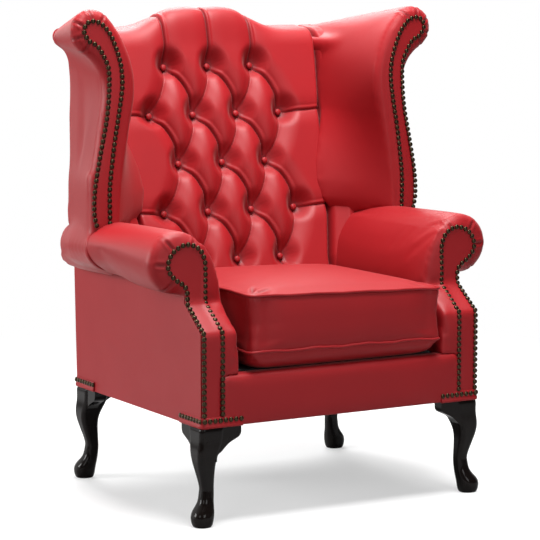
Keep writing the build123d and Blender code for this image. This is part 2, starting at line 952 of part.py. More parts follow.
dome_radius = button_radius**2 / button_height + button_height / 4
dome_angle = degrees(asin(button_radius / dome_radius))
with BuildPart() as back_buttons:
    for row in range(button_rows):
        for place in button_row(row):
            for side in (1, -1):
                if side > 0 or place[0] > 0:
                    seat = tuft_plane.from_local_coords(Vector(side * place[0], place[1], -tuft_depth))
                    with BuildSketch(
                        Plane(origin=seat, x_dir=(1, 0, 0), z_dir=Vector(1, 0, 0).cross(tuft_out))
                    ):
                        with BuildLine():
                            Polyline(
                                (0, button_height),
                                (0, 0),
                                (button_radius, 0),
                                (button_radius, button_height / 2),
                            )
                            CenterArc(
                                (0, button_height - dome_radius),
                                dome_radius,
                                90 - dome_angle,
                                dome_angle,
                            )
                        make_face()
                    revolve(axis=Axis(seat, tuft_out))

# Seat platform on the straps, and the black cloth under the seat
with BuildPart() as half_platform:
    with BuildSketch(Plane.XY.offset(straps_top_z)):
        with Locations((0, front_y + border_lip_depth)):
            Rectangle(
                platform_half_width,
                back_pad_front_y - front_y - border_lip_depth,
                align=(Align.MIN, Align.MIN),
            )
    extrude(amount=platform_top_z - straps_top_z)
    cut_away(inside_arm)

seat_platform = whole(half_platform)

with BuildPart() as half_dust_cover:
    with BuildSketch(Plane.XY.offset(leg_height)):
        with Locations((0, front_y + dust_cover_inset)):
            Rectangle(
                seat_half_width - dust_cover_inset,
                rear_y - front_y - 2 * dust_cover_inset,
                align=(Align.MIN, Align.MIN),
            )
    extrude(amount=-dust_cover_thickness)
    cut_away(front_leg, rear_leg, front_ears, rear_ears, left_leg_bolts)

dust_cover = whole(half_dust_cover)


# Loose cushion: a foam core in a leather cover with a crown above and below and drawn-in sides
def cushion_outline(z, inset):
    """Plan of the cushion at a height, wider at the front than at the back"""
    with BuildSketch(Plane.XY.offset(z)) as outline:
        polygon(
            (-cushion_half_width + inset, cushion_front_y + inset),
            (cushion_half_width - inset, cushion_front_y + inset),
            (cushion_rear_half_width - inset, cushion_rear_y - inset),
            (-cushion_rear_half_width + inset, cushion_rear_y - inset),
        )
        fillet(outline.vertices(), cushion_corner_radius)
    return outline.sketch


def cushion_levels(inset):
    """Heights and insets of the cushion's sections from below to above"""
    bottom = cushion_bottom_z + inset
    top = cushion_top_z - inset
    levels = []
    for rise, share in reversed(cushion_base_shares):
        levels.append((lerp(cushion_lower_piping_z, bottom, rise), inset + cushion_base_inset * share))
    for rise, share in cushion_side_shares[1:-1]:
        levels.append(
            (lerp(cushion_lower_piping_z, cushion_upper_piping_z, rise), inset + cushion_waist * share)
        )
    for rise, share in cushion_crown_shares:
        levels.append((lerp(cushion_upper_piping_z, top, rise), inset + cushion_crown_inset * share))
    return levels


def cushion_form(inset):
    with BuildPart() as form:
        loft([cushion_outline(*level) for level in cushion_levels(inset)], ruled=True)
    return form


def piping(z):
    with BuildPart() as cord:
        path = cushion_outline(z, 0).faces()[0].outer_wire()
        with BuildSketch(Plane(origin=path @ 0, z_dir=path % 0)) as section:
            RegularPolygon(radius=piping_radius, side_count=8)
        sweep(section.sketch, path=path)
    return cord


upper_piping = piping(cushion_upper_piping_z)
lower_piping = piping(cushion_lower_piping_z)
cushion_core = cushion_form(cushion_cover_thickness)

with BuildPart() as cushion_zip:
    with BuildSketch(across(cushion_rear_y - cushion_waist)):
        with Locations((0, (cushion_lower_piping_z + cushion_upper_piping_z) / 2)):
            Rectangle(2 * zip_half_length, zip_height)
    extrude(amount=-zip_thickness)

with BuildPart() as cushion_cover:
    add(cushion_form(0).part)
    cut_away(cushion_core, upper_piping, lower_piping, cushion_zip)


pairs = {
    "side_seat_rail": side_seat_rail,
    "arm_post": arm_post,
    "arm_board": arm_board,
    "back_post": back_post,
    "wing_post": wing_post,
    "wing_rail": wing_rail,
    "front_leg": front_leg,
    "rear_leg": rear_leg,
    "front_leg_ears": front_ears,
    "rear_leg_ears": rear_ears,
    "inside_arm": inside_arm,
    "outside_arm": outside_arm,
    "arm_facing": arm_facing,
    "inside_wing": inside_wing,
    "outside_wing": outside_wing,
    "wing_facing": wing_facing,
}
singles = {
    "front_seat_rail": front_seat_rail,
    "back_seat_rail": back_seat_rail,
    "back_stay_rail": back_stay_rail,
    "crest_rail": crest_rail,
    "corner_blocks": corner_blocks,
    "leg_bolts": leg_bolts,
    "long_seat_straps": long_seat_straps,
    "cross_seat_straps": cross_seat_straps,
    "back_straps": back_straps,
    "seat_platform": seat_platform,
    "front_border": front_border,
    "dust_cover": dust_cover,
    "inside_back": inside_back,
    "back_buttons": back_buttons,
    "outside_back": outside_back,
    "cushion_cover": cushion_cover,
    "cushion_core": cushion_core,
    "upper_piping": upper_piping,
    "lower_piping": lower_piping,
    "cushion_zip": cushion_zip,
}


def write_piece(piece, name):
    piece.part.label = name
    export_step(piece.part, f"parts/{name}.step")


for name, piece in singles.items():
    write_piece(piece, name)
for name, piece in pairs.items():
    write_piece(piece, name + "_left")
    write_piece(mirrored(piece), name + "_right")
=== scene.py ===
import json
from math import cos, hypot, pi, radians, sin, tan

import bpy
import numpy as np
from mathutils import Matrix, Vector


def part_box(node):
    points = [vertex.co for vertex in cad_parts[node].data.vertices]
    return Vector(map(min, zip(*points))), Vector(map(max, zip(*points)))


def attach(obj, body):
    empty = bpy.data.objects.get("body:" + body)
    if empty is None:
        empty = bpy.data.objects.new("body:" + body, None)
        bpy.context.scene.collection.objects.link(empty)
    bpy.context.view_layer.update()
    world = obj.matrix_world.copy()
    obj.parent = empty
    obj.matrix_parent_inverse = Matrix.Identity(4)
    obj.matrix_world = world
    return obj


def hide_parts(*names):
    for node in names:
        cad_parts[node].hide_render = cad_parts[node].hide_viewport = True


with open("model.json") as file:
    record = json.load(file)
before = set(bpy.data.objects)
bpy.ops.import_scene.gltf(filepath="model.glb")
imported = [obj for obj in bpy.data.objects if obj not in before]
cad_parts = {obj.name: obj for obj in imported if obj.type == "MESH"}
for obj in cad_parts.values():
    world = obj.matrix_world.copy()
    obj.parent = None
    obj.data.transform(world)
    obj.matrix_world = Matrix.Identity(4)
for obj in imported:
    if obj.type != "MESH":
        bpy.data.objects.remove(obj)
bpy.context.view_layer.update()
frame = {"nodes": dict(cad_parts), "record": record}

bl_info = {
    "name": "Wing chair",
    "version": (1, 0, 0),
    "blender": (4, 5, 0),
    "location": "View3D > Sidebar > Wing chair",
    "description": "Leather, buttons, nails and polish for a deep-buttoned wing chair",
    "category": "Object",
}

MM = 0.001
SIDES = {"left": 1, "right": -1}


# Sizes and colours that a user would change
def measure(name, value, text=""):
    """A length of a panel or an operator, given in millimetres"""
    return bpy.props.FloatProperty(name=name, description=text, default=value * MM, unit="LENGTH")


def shade(name, code, text="sRGB colour"):
    return bpy.props.StringProperty(name=name, description=text, default=code)


class WINGCHAIR_PG_leather(bpy.types.PropertyGroup):
    """Smooth upholstery leather"""

    colour: shade("Leather", "#8A0E15")
    cloud_colour: shade("Cloud", "#931117", "sRGB colour where the hide is a little lighter")
    # Painted shade: a darker red that the leather takes in folds, pleats, the back's seam groove and round
    # the buttons
    fold_shade_colour: shade("Creases", "#4C0409", "sRGB colour in folds")
    grain: measure("Grain", 1.4, "Width of a grain cell")
    roughness: bpy.props.FloatProperty(name="Roughness", description="Finish", default=0.5)


class WINGCHAIR_PG_back(bpy.types.PropertyGroup):
    """Deep-buttoned inside back"""

    pitch_x: measure("Pitch across", 109.5, "Between buttons of a row")
    pitch_v: measure("Pitch up", 110.3, "Between rows of buttons")
    rows: bpy.props.IntProperty(name="Rows", description="Rows of buttons", default=5)
    rake: bpy.props.FloatProperty(
        name="Rake", description="Of the buttoned face", default=radians(18.26), subtype="ANGLE"
    )
    front_y: measure("Front", 64.4, "How far back the face is below its waist")
    waist_z: measure("Waist", 440, "Height at which the face starts to lean")
    first_z: measure("First row", 486, "Height of the lowest buttons")
    first_y: measure("First row depth", 79.6, "How far back the face is at the lowest buttons")
    well: measure("Well", 32, "Depth of a button's well")
    well_radius: measure("Well radius", 50, "Reach of a button's well")
    pleat: measure("Pleat", 17, "Depth of a pleat half way")
    button: measure("Button", 8.0, "Radius of a covered button")
    step: measure("Step", 2.5, "Spacing of the mesh")


class WINGCHAIR_PG_nails(bpy.types.PropertyGroup):
    """Close-set upholstery nails"""

    radius: measure("Radius", 5.5, "Of a nail's head")
    rise: measure("Rise", 3.6, "Height of a nail's head")
    pitch: measure("Pitch", 11.9, "Between two nails")
    corner_z: measure("Corner rows", 217, "Height of the rows above the legs")
    corner_count: bpy.props.IntProperty(name="Corner nails", description="In a row", default=8)
    colour: shade("Brass", "#4A3D2C")


class WINGCHAIR_PG_legs(bpy.types.PropertyGroup):
    """Polished legs"""

    colour: shade("Polish", "#140D0B")


# Small helpers
def settings(name):
    return getattr(bpy.context.scene, "wingchair_" + name)


def linear(code):
    """Linear colour of an sRGB hex value"""
    channels = [int(code[i : i + 2], 16) / 255 for i in (1, 3, 5)]
    return [c / 12.92 if c <= 0.04045 else ((c + 0.055) / 1.055) ** 2.4 for c in channels] + [1]


def deselect():
    if bpy.context.object and bpy.context.object.mode != "OBJECT":
        bpy.ops.object.mode_set(mode="OBJECT")
    bpy.ops.object.select_all(action="DESELECT")


def activate(piece):
    deselect()
    piece.select_set(True)
    bpy.context.view_layer.objects.active = piece


def modify(piece, kind, **values):
    """Add a modifier, set it and apply it"""
    activate(piece)
    modifier = piece.modifiers.new(kind.lower(), kind)
    for key, value in values.items():
        setattr(modifier, key, value)
    bpy.ops.object.modifier_apply(modifier=modifier.name)


def new_piece(name, vertices, faces):
    mesh = bpy.data.meshes.new(name)
    mesh.from_pydata([tuple(v) for v in vertices], [], faces)
    mesh.update()
    piece = bpy.data.objects.new(name, mesh)
    bpy.context.scene.collection.objects.link(piece)
    return piece


def edit(piece, action, **values):
    """Run one of the mesh editing operators on a whole piece"""
    activate(piece)
    bpy.ops.object.mode_set(mode="EDIT")
    bpy.ops.mesh.select_all(action="SELECT")
    action(**values)
    bpy.ops.object.mode_set(mode="OBJECT")


def join(pieces):
    """Join pieces into the first of them"""
    activate(pieces[0])
    for piece in pieces[1:]:
        piece.select_set(True)
    if len(pieces) > 1:
        bpy.ops.object.join()
    return pieces[0]


def copy_of(name, *nodes):
    """One new piece from copies of CAD solids, its loose triangles merged"""
    copies = []
    for solid in nodes:
        copy = bpy.data.objects.new(name, frame["nodes"][solid].data.copy())
        bpy.context.scene.collection.objects.link(copy)
        copies.append(copy)
    piece = join(copies)
    piece.name = name
    edit(piece, bpy.ops.mesh.remove_doubles, threshold=0.01 * MM)
    return piece


def keep(piece, low, high):
    """Keep what lies inside a box, given in millimetres"""
    deselect()
    bpy.ops.mesh.primitive_cube_add(size=1)
    box = bpy.context.object
    low, high = Vector(low) * MM, Vector(high) * MM
    size = high - low
    box.data.transform(Matrix.Translation((low + high) / 2) @ Matrix.Diagonal((*size, 1)))
    modify(piece, "BOOLEAN", operation="INTERSECT", solver="EXACT", object=box)
    bpy.data.objects.remove(box)


def smooth_shade(piece):
    activate(piece)
    bpy.ops.object.shade_smooth()


def finish(piece, body, material, nodes=()):
    """Give a piece its body and its finish, and hide the CAD solids it stands for"""
    piece.data.materials.clear()
    piece.data.materials.append(material)
    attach(piece, body)
    if nodes:
        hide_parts(*nodes)


def upholster(piece, nodes=(), body="chair"):
    """Finish a piece in the red leather"""
    finish(piece, body, red_leather(), nodes)


# Materials
def node(tree, kind, inputs=None, **values):
    """Add a node with its settings, and its input values or links"""
    made = tree.nodes.new(kind)
    for key, value in values.items():
        setattr(made, key, value)
    for key, value in (inputs or {}).items():
        if isinstance(value, bpy.types.NodeSocket):
            tree.links.new(value, made.inputs[key])
        else:
            made.inputs[key].default_value = value
    return made


def blend(tree, share, first, second):
    """Mix two colours by a share"""
    return node(tree, "ShaderNodeMix", {"Factor": share, 6: first, 7: second}, data_type="RGBA").outputs[2]


def maths(tree, way, *inputs):
    """A sum or product of sockets and numbers"""
    return node(tree, "ShaderNodeMath", dict(enumerate(inputs)), operation=way).outputs[0]


def new_material(name):
    """A new material with its tree and shader, or the one that exists, with no tree"""
    material = bpy.data.materials.get(name)
    if material:
        return material, None, None
    material = bpy.data.materials.new(name)
    material.use_nodes = True
    tree = material.node_tree
    return material, tree, tree.nodes["Principled BSDF"]


def finish_with(shader, **values):
    """Set values of a shader that are the same all over"""
    for key, value in values.items():
        shader.inputs[key.replace("_", " ")].default_value = value


def two_tone(tree, shader, dark, light, scale, detail=2.0, stretch=(1, 1, 1)):
    """Let the colour drift between two tones, and give back the noise that it follows"""
    place = node(tree, "ShaderNodeTexCoord").outputs["Object"]
    along = node(tree, "ShaderNodeMapping", {"Vector": place, "Scale": stretch}).outputs[0]
    noise = node(tree, "ShaderNodeTexNoise", {"Vector": along, "Scale": scale, "Detail": detail})
    colour = blend(tree, noise.outputs["Fac"], linear(dark), linear(light))
    tree.links.new(colour, shader.inputs["Base Color"])
    return noise.outputs["Fac"]


def red_leather():
    """Finished hide: an even red with a fine pebbled grain, and painted shade where it folds"""
    material, tree, shader = new_material("corrected_grain_red_leather")
    if tree is None:
        return material
    leather = settings("leather")
    place = node(tree, "ShaderNodeTexCoord").outputs["Object"]
    cloud = node(tree, "ShaderNodeTexNoise", {"Vector": place, "Scale": 9.0, "Detail": 3.0})
    cloud = cloud.outputs["Fac"]
    # Painted shade: the mesh's stored share darkens the red in folds, pleats and button wells
    fold_shade = node(tree, "ShaderNodeAttribute", attribute_name="fold_shade").outputs["Fac"]
    base = blend(tree, cloud, linear(leather.cloud_colour), linear(leather.colour))
    with_fold_shade = blend(tree, fold_shade, base, linear(leather.fold_shade_colour))
    tree.links.new(with_fold_shade, shader.inputs["Base Color"])
    spread = {"Value": cloud, 3: leather.roughness - 0.05, 4: leather.roughness + 0.05}
    rough = node(tree, "ShaderNodeMapRange", spread)
    tree.links.new(rough.outputs[0], shader.inputs["Roughness"])
    grain = {"Vector": place, "Scale": 1 / leather.grain, "Randomness": 1.0}
    cells = node(tree, "ShaderNodeTexVoronoi", grain, feature="SMOOTH_F1").outputs["Distance"]
    pull = node(tree, "ShaderNodeTexNoise", {"Vector": place, "Scale": 55.0, "Detail": 4.0})
    pull = {"Height": pull.outputs["Fac"], "Strength": 0.10, "Distance": 1.0 * MM}
    soft = node(tree, "ShaderNodeBump", pull).outputs[0]
    pebbles = {"Height": cells, "Strength": 0.16, "Distance": 0.25 * MM, "Normal": soft}
    tree.links.new(node(tree, "ShaderNodeBump", pebbles).outputs[0], shader.inputs["Normal"])
    finish_with(shader, Specular_IOR_Level=0.28, Sheen_Weight=0.08, Sheen_Roughness=0.35)
    finish_with(shader, Sheen_Tint=linear("#FFE2DC"))
    return material


def clouded(name, dark, light, scale, detail=2.0, **values):
    """A plain material whose colour drifts between two tones"""
    material, tree, shader = new_material(name)
    if tree is not None:
        two_tone(tree, shader, dark, light, scale, detail)
        finish_with(shader, **values)
    return material


def antique_brass():
    """Lacquered brass, with a cloud of dark antiquing"""
    brass = settings("nails").colour
    return clouded("antiqued_brass", "#1F1A14", brass, 260.0, Metallic=1.0, Roughness=0.3)


def polished_wood():
    """French polished beech, stained nearly black, with faint long grain under the gloss"""
    material, tree, shader = new_material("dark_polished_beech")
    if tree is not None:
        along_leg = (1.0, 1.0, 0.12)
        grain = two_tone(tree, shader, "#0B0706", settings("legs").colour, 320.0, 4.0, along_leg)
        bump = node(tree, "ShaderNodeBump", {"Height": grain, "Strength": 0.05, "Distance": 0.2 * MM})
        tree.links.new(bump.outputs[0], shader.inputs["Normal"])
        finish_with(shader, Roughness=0.18, Specular_IOR_Level=0.08)
        finish_with(shader, Coat_Weight=0.12, Coat_Roughness=0.06)
    return material


def plain_wood():
    """Planed beech, pale and unfinished"""
    return clouded("planed_beech", "#B98E63", "#D3AE80", 60.0, 5.0, Roughness=0.65)


def black_cloth():
    """Spunbonded black bottoming cloth with a felted surface"""
    return clouded("black_bottoming_cloth", "#0C0C0D", "#1D1D1F", 700.0, 3.0, Roughness=0.92)


def plain_steel():
    """Zinc plated steel, bright with a faint grey cloud"""
    return clouded("zinc_plated_steel", "#9B9DA0", "#B9BBBE", 120.0, Metallic=1.0, Roughness=0.35)


# Soft forms
FRAMES = 20


def points_of(piece):
    """Places of a mesh's vertices as an array"""
    places = np.empty(len(piece.data.vertices) * 3)
    piece.data.vertices.foreach_get("co", places)
    return places.reshape(-1, 3)


def normals_of(piece):
    normals = np.empty(len(piece.data.vertices) * 3, dtype=np.float32)
    piece.data.vertex_normals.foreach_get("vector", normals)
    return normals.reshape(-1, 3).astype(float)


def move_to(piece, places):
    piece.data.vertices.foreach_set("co", places.reshape(-1))
    piece.data.update()


def soften(piece, voxel, rounds):
    """Close a piece into one skin and ease its edges, as leather over padding does"""
    modify(piece, "REMESH", mode="VOXEL", voxel_size=voxel)
    modify(piece, "SMOOTH", factor=0.5, iterations=rounds)


def inflate(piece, held, cap, pressure=4.0):
    """Let the padding push the leather out between the places where it is held"""
    before = points_of(piece)
    group = piece.vertex_groups.new(name="held")
    group.add([int(i) for i in np.flatnonzero(held)], 1.0, "REPLACE")
    cloth = piece.modifiers.new("padding", "CLOTH")
    cloth.settings.quality = 4
    cloth.settings.mass = 0.4
    cloth.settings.tension_stiffness = 25
    cloth.settings.compression_stiffness = 25
    cloth.settings.shear_stiffness = 12
    cloth.settings.bending_stiffness = 4
    cloth.settings.use_pressure = True
    cloth.settings.uniform_pressure_force = pressure
    cloth.settings.vertex_group_mass = group.name
    cloth.settings.effector_weights.gravity = 0
    cloth.collision_settings.use_collision = False
    cloth.point_cache.frame_start = 1
    cloth.point_cache.frame_end = FRAMES
    for step in range(1, FRAMES + 1):
        bpy.context.scene.frame_set(step)
    shape = piece.evaluated_get(bpy.context.evaluated_depsgraph_get()).data
    after = np.empty(len(shape.vertices) * 3)
    shape.vertices.foreach_get("co", after)
    moves = after.reshape(-1, 3) - before
    lengths = np.linalg.norm(moves, axis=1, keepdims=True)
    moves *= np.minimum(1, cap * np.tanh(lengths / cap) / np.maximum(lengths, 1e-9))
    piece.modifiers.remove(cloth)
    piece.vertex_groups.remove(group)
    bpy.context.scene.frame_set(1)
    move_to(piece, before + moves)


def pinch(piece, folds, width):
    """Press creases into a piece along short lines: start, end and depth of each, with painted shade along
    each crease
    """
    places = points_of(piece)
    normals = normals_of(piece)
    store = piece.data.attributes.get("fold_shade") or piece.data.attributes.new("fold_shade", "FLOAT", "POINT")
    fold_shade = np.empty(len(places), dtype=np.float32)
    store.data.foreach_get("value", fold_shade)
    for start, end, depth in folds:
        start, end = np.array(start), np.array(end)
        run = end - start
        share = np.clip(((places - start) @ run) / (run @ run), 0, 1)
        gap = np.linalg.norm(places - start - share[:, None] * run, axis=1)
        taper = np.sin(pi * (0.08 + 0.84 * share)) ** 0.7
        dip = depth * taper * np.exp(-((gap / width) ** 2))
        swell = 0.45 * depth * taper * np.exp(-(((gap - 2.2 * width) / width) ** 2))
        places = places - normals * (dip - swell)[:, None]
        # Painted shade along the crease, kept on the mesh for the leather
        fold_shade = np.maximum(fold_shade, (0.8 * taper * np.exp(-gap / (0.7 * width))).astype(np.float32))
    move_to(piece, places)
    piece.data.attributes["fold_shade"].data.foreach_set("value", fold_shade)


def mirrored(piece, name):
    """A copy on the other side of the chair"""
    other = piece.copy()
    other.data = piece.data.copy()
    other.name = name
    bpy.context.scene.collection.objects.link(other)
    other.data.transform(Matrix.Scale(-1, 4, (1, 0, 0)))
    other.data.flip_normals()
    return other


def ease(piece, where, rounds):
    """Smooth one part of a piece and hold the rest"""
    group = piece.vertex_groups.new(name="eased")
    group.add([int(i) for i in np.flatnonzero(where)], 1.0, "REPLACE")
    modify(piece, "SMOOTH", factor=0.5, iterations=rounds, vertex_group="eased")
    piece.vertex_groups.remove(piece.vertex_groups["eased"])


def gathers(hub, angles, *rings):
    """Folds that fan out round a scroll. Each ring gives where they start and end from the hub,
    how far back both ends lie, and their depth, in millimetres"""
    hub = Vector(hub)
    folds = []
    for angle in angles:
        way = Vector((cos(radians(angle)), 0, sin(radians(angle))))
        for start, end, start_back, end_back, depth in rings:
            first = hub + way * start * MM + Vector((0, start_back * MM, 0))
            last = hub + way * end * MM + Vector((0, end_back * MM, 0))
            folds.append((first, last, depth * MM))
    return folds


def refine(piece):
    modify(piece, "SUBSURF", levels=1, render_levels=1)
    smooth_shade(piece)


def spaced(points, pitch):
    """Even places along a line through points, with a whole number of steps"""
    points = np.array(points, float)
    lengths = np.linalg.norm(np.diff(points, axis=0), axis=1)
    along = np.concatenate([[0], np.cumsum(lengths)])
    count = max(1, round(along[-1] / pitch))
    wanted = np.linspace(0, along[-1], count + 1)
    return np.stack([np.interp(wanted, along, points[:, i]) for i in range(points.shape[1])], axis=1)


def through(points, steps=12):
    """A smooth line that passes through points"""
    points = np.array(points, float)
    ends = np.concatenate([[2 * points[0] - points[1]], points, [2 * points[-1] - points[-2]]])
    line = []
    for a, b, c, d in zip(ends, ends[1:], ends[2:], ends[3:]):
        for t in np.linspace(0, 1, steps, endpoint=False):
            square = (2 * a - 5 * b + 4 * c - d) * t * t
            line.append(0.5 * (2 * b + (c - a) * t + square + (3 * b - a - 3 * c + d) * t**3))
    line.append(points[-1])
    return np.array(line)


class WINGCHAIR_OT_frame(bpy.types.Operator):
    """Finish the hidden frame, the straps and the legs"""

    bl_idname = "wingchair.frame"
    bl_label = "Frame and legs"

    def execute(self, context):
        finishes = {
            "beech_frame": plain_wood,
            "polished_leg": polished_wood,
            "black_cloth": black_cloth,
            "zinc_steel": plain_steel,
            "red_leather": red_leather,
            "seat_foam": black_cloth,
            "antique_brass": antique_brass,
        }
        for row in frame["record"]["subparts"]:
            solid = frame["nodes"][row["node"]]
            solid.data.materials.clear()
            solid.data.materials.append(finishes[row["material_slot"]]())
        return {"FINISHED"}


class WINGCHAIR_OT_inside_back(bpy.types.Operator):
    """Make the deep-buttoned inside back and its pleats"""

    bl_idname = "wingchair.inside_back"
    bl_label = "Inside back"

    seat_z: measure("Seat", 305)
    spring_z: measure("Spring", 940, "Height at which the face starts to roll over")
    crest_z: measure("Crest", 1029)
    shoulder_z: measure("Shoulder", 981)
    seam_z: measure("Seam", 957)
    half_width: measure("Half width", 332)

    def top_z(self, x):
        """Height of the crest across the back"""
        wide = np.array((0, 0.30, 0.45, 0.56, 0.66, 0.77, 0.88, 1.0)) * 200 * MM
        rise = np.array((1.0, 0.97, 0.86, 0.66, 0.40, 0.18, 0.05, 0.0))
        near = np.abs(x) + np.linspace(-14, 14, 9) * MM
        return self.shoulder_z + np.mean(np.interp(near, wide, rise)) * (self.crest_z - self.shoulder_z)

    def path(self, x):
        """Side view of the pad's face at x, from the seat over the crest to the seam"""
        back = settings("back")
        frame_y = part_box("outside_back")[1].y
        spring = (back.front_y + (self.spring_z - back.waist_z) * tan(back.rake), self.spring_z)
        rear = (frame_y + 7 * MM, (self.seam_z + self.shoulder_z) / 2)
        top = ((spring[0] + rear[0]) / 2, float(self.top_z(x)))
        low = [(back.front_y, z) for z in np.linspace(self.seat_z, back.waist_z, 14, endpoint=False)]
        face_steps = round((self.spring_z - back.waist_z) / cos(back.rake) / back.step)
        face = [
            (back.front_y + (z - back.waist_z) * tan(back.rake), z)
            for z in np.linspace(back.waist_z, self.spring_z, face_steps, endpoint=False)
        ]
        roll = []
        for (start, way), (end, out), steps in (
            ((spring, (sin(back.rake), cos(back.rake))), (top, (1, 0)), 34),
            ((top, (1, 0)), (rear, (0, -1)), 26),
        ):
            reach = hypot(end[0] - start[0], end[1] - start[1]) * 1.25
            for t in np.linspace(0, 1, steps, endpoint=False):
                a, b = 2 * t**3 - 3 * t**2 + 1, t**3 - 2 * t**2 + t
                c, d = 3 * t**2 - 2 * t**3, t**3 - t**2
                shares = (a, b * reach, c, d * reach)
                roll.append([sum(s * p[i] for s, p in zip(shares, (start, way, end, out))) for i in (0, 1)])
        under = [rear, (rear[0] - 2 * MM, rear[1] - 6 * MM), (frame_y - 6 * MM, self.seam_z)]
        return np.array(low + face + roll + under)

    def execute(self, context):
        back = settings("back")
        columns = 2 * round(self.half_width / back.step) + 1
        across = np.linspace(-self.half_width, self.half_width, columns)
        paths = np.array([self.path(x) for x in across])
        ways = np.gradient(paths, axis=1)
        ways /= np.linalg.norm(ways, axis=2, keepdims=True)
        runs = np.zeros(paths.shape[:2])
        runs[:, 1:] = np.cumsum(np.linalg.norm(np.diff(paths, axis=1), axis=2), axis=1)
        waist_run = back.waist_z - self.seat_z
        v = runs - waist_run - (back.first_z - back.waist_z) / cos(back.rake)
        x = np.repeat(across[:, None], v.shape[1], axis=1)
        drop, shift_x, shift_v, fold_shade = tufting(x, v)
        level = np.array((305, 440, 475, 566, 639, 683, 796, 906, 976, 1040)) * MM
        joint = np.array((222, 222, 223, 239, 245, 249, 261, 274, 280, 284)) * MM
        past = np.abs(x) - np.interp(paths[:, :, 1], level, joint)
        on_face = np.clip((self.shoulder_z - 6 * MM - paths[:, :, 1]) / (50 * MM), 0, 1)
        drop += 16 * MM * np.exp(-((past / (5 * MM)) ** 2))
        drop -= 0.75 * on_face * np.clip(past, 0, 36 * MM)
        # Painted shade along the groove where the back meets the wings
        fold_shade = np.maximum(fold_shade, np.exp(-((past / (4 * MM)) ** 2)))
        reach = np.interp(paths[:, :, 1], (560 * MM, 640 * MM), (300 * MM, self.half_width))
        behind = np.interp(paths[:, :, 0], (200 * MM, 240 * MM), (self.half_width, 308 * MM))
        reach = np.minimum(reach, behind)
        x = np.clip(x + shift_x, -reach, reach)
        y = paths[:, :, 0] + ways[:, :, 0] * shift_v + ways[:, :, 1] * drop
        z = paths[:, :, 1] + ways[:, :, 1] * shift_v - ways[:, :, 0] * drop
        rows = v.shape[1]
        vertices = np.stack([x, y, z], axis=2).reshape(-1, 3)
        faces = [
            (i * rows + j, (i + 1) * rows + j, (i + 1) * rows + j + 1, i * rows + j + 1)
            for i in range(columns - 1)
            for j in range(rows - 1)
        ]
        piece = new_piece("inside_back_leather", vertices, faces)
        # Keep the painted shade of pleats, buttons and wing seam on the mesh for the leather
        store = piece.data.attributes.new("fold_shade", "FLOAT", "POINT")
        store.data.foreach_set("value", fold_shade.reshape(-1).astype(np.float32))
        smooth_shade(piece)
        upholster(piece, ["inside_back"])
        return {"FINISHED"}


def button_places():
    """Places of the buttons across and up the back: odd rows are shifted by half a pitch"""
    back = settings("back")
    places = []
    for row in range(back.rows):
        shares = (-1.5, -0.5, 0.5, 1.5) if row % 2 else (-1, 0, 1)
        places += [(share * back.pitch_x, row * back.pitch_v) for share in shares]
    return places


def pleats():
    """Lines of the pleats, each from place to place; tufting gives each the bow that its leather takes"""
    back = settings("back")
    places = button_places()
    lines = []
    for start in places:
        for side in (1, -1):
            end = (start[0] + side * back.pitch_x / 2, start[1] + back.pitch_v)
            if any(hypot(end[0] - p[0], end[1] - p[1]) < MM for p in places):
                lines.append((start, end))
    for share in (-1, 0, 1):
        x = share * back.pitch_x
        lines.append(((x, (back.rows - 1) * back.pitch_v), (x, (back.rows + 1.2) * back.pitch_v)))
        lines.append(((x, -back.pitch_v), (x, 0)))
    for row in range(1, back.rows, 2):
        for side in (1, -1):
            x = side * 1.5 * back.pitch_x
            end = x + side * (0.62 + 0.085 * row) * back.pitch_x
            lines.append(((x, row * back.pitch_v), (end, row * back.pitch_v)))
    return lines


def hollow(share, power):
    """Depth left at a share of the way from the bottom of a hollow, 1, to its rim, 0"""
    return (1 - np.clip(share, 0, 1)) ** power


